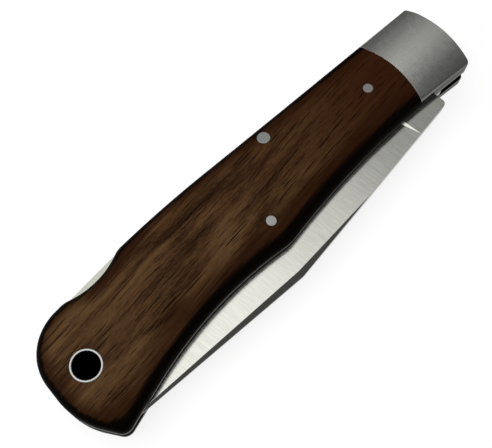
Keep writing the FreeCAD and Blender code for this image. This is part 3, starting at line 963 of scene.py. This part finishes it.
@dataclass
class LanyardTube:
    """The steel tube in the butt, with rounded lips, in millimetres.

    An edge at an end goes round a lip, not across the wall, if its two radii differ by less than a share of
    the wall.
    """

    outer: float = 3.55
    bore: float = 3.0
    half_length: float = 6.33
    lip: float = 0.17
    lip_steps: int = 4
    across_share: float = 0.8
    facets: int = 128

    def build(self, finish: bpy.types.Material) -> bpy.types.Object:
        """Roll a tube, give it its wall and round its lips.

        Args:
            finish: The tube's material.

        Returns:
            The tube.
        """
        deselect_all()
        bpy.ops.mesh.primitive_cylinder_add(
            vertices=self.facets,
            radius=self.outer * MM,
            depth=2.0 * self.half_length * MM,
            end_fill_type="NOTHING",
        )
        piece = bpy.context.active_object
        wall = piece.modifiers.new("wall", "SOLIDIFY")
        wall.thickness = (self.outer - self.bore) * MM
        wall.offset = -1.0
        wall.use_even_offset = True
        bpy.ops.object.modifier_apply(modifier=wall.name)
        bpy.ops.object.mode_set(mode="EDIT")
        select_edges(piece, self._on_lip)
        bpy.ops.mesh.bevel(offset=self.lip * MM, segments=self.lip_steps, affect="EDGES")
        bpy.ops.object.mode_set(mode="OBJECT")
        return settle(piece, "lanyard_tube_rolled", finish)

    def _on_lip(self, edge: bmesh.types.BMEdge) -> bool:
        """Tell whether an edge goes round one of the four lips.

        Args:
            edge: An edge of the tube.

        Returns:
            Whether it does.
        """
        level = self.half_length * MM
        at_end = all(abs(abs(vertex.co.z) - level) < TOUCH * MM for vertex in edge.verts)
        radii = [vertex.co.xy.length for vertex in edge.verts]
        return at_end and abs(radii[0] - radii[1]) < self.across_share * (self.outer - self.bore) * MM


@dataclass(frozen=True)
class Corner:
    """A corner between two upright walls, in millimetres and degrees.

    It has its place, the directions in which its two walls face and the radius that it is rounded to.
    """

    place: Point
    walls: Point
    radius: float


@dataclass
class HeadPlate:
    """A bolster or liner whose two corners at the head are rounded, in millimetres.

    A face is a wall up to one upright share, and is level from another.
    """

    node: str
    crown: Crown
    facets: int = 8
    wall_rise: float = 0.03
    level_rise: float = 0.9
    tolerance: float = 0.01
    merge: float = 1e-4
    corners: tuple[Corner, ...] = (
        Corner((112.30, 8.82), (16.4, 85.5), 0.9),
        Corner((112.17, -11.60), (-18.6, -84.5), 1.8),
    )

    def build(self, finish: bpy.types.Material) -> bpy.types.Object:
        """Copy the node's mesh, close it and round the corners.

        Args:
            finish: The plate's material.

        Returns:
            The plate.
        """
        deselect_all()
        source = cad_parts[self.node]
        piece = source.copy()
        piece.data = source.data.copy()
        bpy.context.scene.collection.objects.link(piece)
        piece.select_set(True)
        bpy.context.view_layer.objects.active = piece
        bpy.ops.object.mode_set(mode="EDIT")
        bpy.ops.mesh.select_all(action="SELECT")
        bpy.ops.mesh.remove_doubles(threshold=self.merge * MM)
        bpy.ops.mesh.normals_make_consistent(inside=False)
        for corner in self.corners:
            self._round(corner)
        bpy.ops.object.mode_set(mode="OBJECT")
        settle(piece, f"{self.node}_rounded", finish)
        self._true_normals(piece)
        return piece

    def _true_normals(self, piece: bpy.types.Object) -> None:
        """Give the dome and the walls their true normals, however their triangles lie.

        Args:
            piece: The plate, in object mode.
        """
        mesh = piece.data
        normals = [corner.vector.copy() for corner in mesh.corner_normals]
        upright = [face for face in mesh.polygons if abs(face.normal.z) < self.wall_rise]
        on_walls = {vertex for face in upright for vertex in face.vertices}
        for face in mesh.polygons:
            rise = abs(face.normal.z)
            side = Side.NEAR if face.normal.z > 0.0 else Side.FAR
            for index in face.loop_indices:
                vertex = mesh.loops[index].vertex_index
                place = mesh.vertices[vertex].co / MM
                off_crown = abs(abs(place.z) - self.crown.top(place.y))
                if rise > self.wall_rise and off_crown < self.tolerance:
                    normals[index] = self.crown.normal(place.y, side)
                elif rise < self.level_rise and vertex in on_walls:
                    normals[index] = Vector((*normals[index].xy, 0.0)).normalized()
        mesh.normals_split_custom_set(normals)

    def _round(self, corner: Corner) -> None:
        """Cut a corner by upright planes that touch the circle between its two walls.

        Args:
            corner: The corner.
        """
        first, last = corner.walls
        middle = math.radians((first + last) / 2.0)
        half = math.radians(abs(last - first) / 2.0)
        inwards = Vector((math.cos(middle), math.sin(middle), 0.0)) * (corner.radius / math.cos(half))
        centre = Vector((*corner.place, 0.0)) - inwards
        for facet in range(self.facets):
            angle = math.radians(first + (last - first) * (facet + 0.5) / self.facets)
            normal = Vector((math.cos(angle), math.sin(angle), 0.0))
            bpy.ops.mesh.select_all(action="SELECT")
            bpy.ops.mesh.bisect(
                plane_co=(centre + normal * corner.radius) * MM,
                plane_no=normal,
                use_fill=True,
                clear_outer=True,
                threshold=self.merge * MM,
            )


@dataclass
class Handle:
    """The handle's plates, covers, pins and tube.

    The paces say how fast the wood's dark bands, darker wood mixed with painted shade, end at its lower edge,
    its spine and its butt.
    """

    crown: Crown
    tube: LanyardTube
    lower_pace: float = 1.0
    spine_pace: float = 1.8
    butt_pace: float = 1.6
    # Painted shade and highlight: the bolster darkens on its walls and towards the dome's edges, with a
    # painted highlight on its rounded rim
    bolster_finish: LeanShadedFinish = LeanShadedFinish(
        "bolster_steel", (0.67, 0.67, 0.64), 0.27, Brush.ROUND,
        brush_pitch=1.5, brush_contrast=0.05, brush_depth=0.0001, edge_radius=0.04, grazing=DULL,
        lean_shading=((0.0, 0.13), (0.5, 0.30), (0.80, 0.85), (0.93, 0.40), (0.972, 0.34), (0.988, 0.56),
              (0.996, 0.90), (1.0, 1.0)),
    )
    # Painted shade: the liner walls turn black next to the blade
    liner_finish: LinerFinish = LinerFinish(
        "liner_steel", (0.50, 0.50, 0.48), 0.30, Brush.ALONG, grazing=DULL,
    )
    # Painted shade: the spacer's steel is coloured nearly black and reflects nothing at a flat angle, for the
    # shade between the liners at the butt
    spacer_shade_finish: SteelFinish = SteelFinish(
        "spacer_steel", (0.05, 0.05, 0.047), 0.40, Brush.ALONG, grazing=BLACK,
    )
    pin_finish: SteelFinish = SteelFinish("pin_steel", (0.31, 0.31, 0.30), 0.35, Brush.ROUND, brush_pitch=0.4)
    # Painted shade: the tube turns black inside its bore, and its black grazing colour dims its walls
    tube_finish: TubeFinish = TubeFinish(
        "tube_steel", (0.40, 0.40, 0.385), 0.28, Brush.ROUND, brush_pitch=0.6, grazing=BLACK,
    )

    def dress(self) -> None:
        """Give the plates and covers their finishes, and model the pins and the tube."""
        bolster = self.bolster_finish.material()
        sheet = self.liner_finish.material()
        for side in Side:
            scale = f"scale_{side.tag}"
            paint(scale, WalnutFinish(f"walnut_{side.tag}", self._wood_edges(scale)).material())
            self._set_plate(HeadPlate(f"bolster_{side.tag}", self.crown), bolster, "bolster_steel")
            self._set_plate(HeadPlate(f"liner_{side.tag}", self.crown), sheet, "liner_steel")
            paint(f"bolster_pin_upper_{side.tag}", sheet)
            paint(f"bolster_pin_lower_{side.tag}", sheet)
        for node in ("spacer_pin_upper", "spacer_pin_lower", "spring_pin"):
            paint(node, sheet)
        paint("butt_spacer", self.spacer_shade_finish.material())
        paint("pivot_pin", bolster)
        self._set_pins()
        self._put(self.tube.build(self.tube_finish.material()), "lanyard_tube", "tube_steel")

    def _wood_edges(self, scale: str) -> tuple[EdgeLine, ...]:
        """Give the edges of a scale that its dark bands follow.

        Args:
            scale: The scale's node.

        Returns:
            Its lower edge, spine and butt.
        """
        return (
            EdgeLine.measure(scale, "X", 1, self.lower_pace),
            EdgeLine.measure(scale, "X", -1, self.spine_pace),
            EdgeLine.measure(scale, "Y", 1, self.butt_pace),
        )

    @staticmethod
    def _put(piece: bpy.types.Object, node: str, slot: str) -> None:
        """Let a modelled piece ride on the handle in the place of its node.

        Args:
            piece: The piece.
            node: The CAD node that it replaces.
            slot: The name of its material slot, which is not used.
        """
        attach(piece, "handle")
        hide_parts(node)
        LOG.info("%s modelled", piece.name)

    def _set_plate(self, plate: HeadPlate, finish: bpy.types.Material, slot: str) -> None:
        """Model a plate with rounded corners."""
        self._put(plate.build(finish), plate.node, slot)

    def _set_pins(self) -> None:
        """Model the pins that show in the wood."""
        finish = self.pin_finish.material()
        pins = [Pin("lock_pin", tuple(Side), self.crown)]
        for spot in ("front", "mid"):
            for side in Side:
                pins.append(Pin(f"scale_pin_{spot}_{side.tag}", (side,), self.crown))
        for pin in pins:
            self._put(pin.build(finish), pin.node, "pin_steel")


@dataclass
class Blade:
    """The blade's finish, which is turned with the closed blade, in degrees.

    The back and the swedge, whose faces lean further than the plunge line's, are darkened by painted shade,
    by how far each face leans.
    """

    finish: LeanShadedFinish = LeanShadedFinish(
        "blade_steel", (0.50, 0.50, 0.46), 0.19, Brush.ACROSS,
        brush_turn=4.6, brush_pitch=0.3, brush_length=9.0, brush_contrast=0.50, brush_depth=0.0003,
        # Painted shade: faces that lean to the side keep half the light or less
        lean_shading=((0.0, 0.35), (0.5, 0.45), (0.957, 0.50), (0.964, 1.0), (1.0, 1.0)),
    )

    def dress(self) -> None:
        """Give the blade its crosswise satin."""
        paint("blade", self.finish.material())
        LOG.info("blade finished")


@dataclass
class Lock:
    """The finish of the lock bar and its spring."""

    finish: SteelFinish = SteelFinish("lock_steel", (0.37, 0.37, 0.325), 0.28, Brush.ALONG)

    def dress(self) -> None:
        """Give the bar and the spring their finish."""
        material = self.finish.material()
        for node in ("lock_bar", "lock_spring"):
            paint(node, material)
        LOG.info("lock finished")


@dataclass(frozen=True)
class SoftBox:
    """A level lamp that shines straight down, in metres.

    Its brightness is that of its face, where 1 is white.
    """

    name: str
    low: Point
    high: Point
    height: float
    brightness: float

    def hang(self) -> None:
        """Hang the lamp."""
        data = bpy.data.lights.new(self.name, "AREA")
        data.shape = "RECTANGLE"
        data.size = self.high[0] - self.low[0]
        data.size_y = self.high[1] - self.low[1]
        data.energy = self.brightness * math.pi * data.size * data.size_y
        lamp = bpy.data.objects.new(self.name, data)
        middle = (Vector(self.low) + Vector(self.high)) / 2.0
        lamp.location = (middle.x, middle.y, self.height)
        bpy.context.scene.collection.objects.link(lamp)


@dataclass
class Studio:
    """The floor, the lamps and the camera, in metres and degrees. The lens is in millimetres."""

    floor_size: float = 30.0
    camera_place: Triple = (-0.005712, -0.044273, 0.181586)
    camera_turn: Triple = (20.585, -1.4965, -46.306)
    camera_lens: float = 62.93
    camera_clip: float = 0.01
    sky: Colour = (0.18, 0.18, 0.18)
    lamps: tuple[SoftBox, ...] = (
        SoftBox("butt", low=(-1.9, -0.25), high=(0.32, 1.5), height=1.0, brightness=1.5),
        SoftBox("middle", low=(0.32, -0.25), high=(0.50, 1.5), height=1.0, brightness=0.95),
        SoftBox("head", low=(0.52, 0.12), high=(0.80, 0.38), height=1.0, brightness=0.37),
    )

    def build(self) -> None:
        """Set up the stage."""
        self._lay_floor()
        for lamp in self.lamps:
            lamp.hang()
        self._fill_surroundings()
        self._set_camera()
        bpy.context.scene.view_settings.view_transform = "Standard"
        LOG.info("studio set")

    def _lay_floor(self) -> None:
        """Lay the paper under the knife."""
        deselect_all()
        level = CAD_BOX[0].z
        bpy.ops.mesh.primitive_plane_add(size=self.floor_size, location=(0.0, 0.0, level))
        floor = bpy.context.active_object
        settle(floor, "paper_floor", FloorFinish().material())

    def _fill_surroundings(self) -> None:
        """Give the room around the knife a dim even grey."""
        world = bpy.data.worlds.new("surroundings")
        bpy.context.scene.world = world
        world.use_nodes = True
        graph = Graph(world.node_tree)
        sockets = {"Color": (*self.sky, 1.0), "Strength": 1.0}
        background = graph.node("ShaderNodeBackground", sockets=sockets)
        graph.node("ShaderNodeOutputWorld", sockets={"Surface": background})

    def _set_camera(self) -> None:
        """Place the camera where the photograph was taken from."""
        data = bpy.data.cameras.new("camera")
        data.lens = self.camera_lens
        data.clip_start = self.camera_clip
        camera = bpy.data.objects.new("camera", data)
        camera.location = self.camera_place
        camera.rotation_euler = tuple(math.radians(turn) for turn in self.camera_turn)
        bpy.context.scene.collection.objects.link(camera)
        bpy.context.scene.camera = camera


def main() -> None:
    """Dress the knife and set the stage."""
    logging.basicConfig(level=logging.INFO, format="%(name)s: %(message)s")
    Handle(Crown(), LanyardTube()).dress()
    Blade().dress()
    Lock().dress()
    Studio().build()


if __name__ == "__main__":
    main()
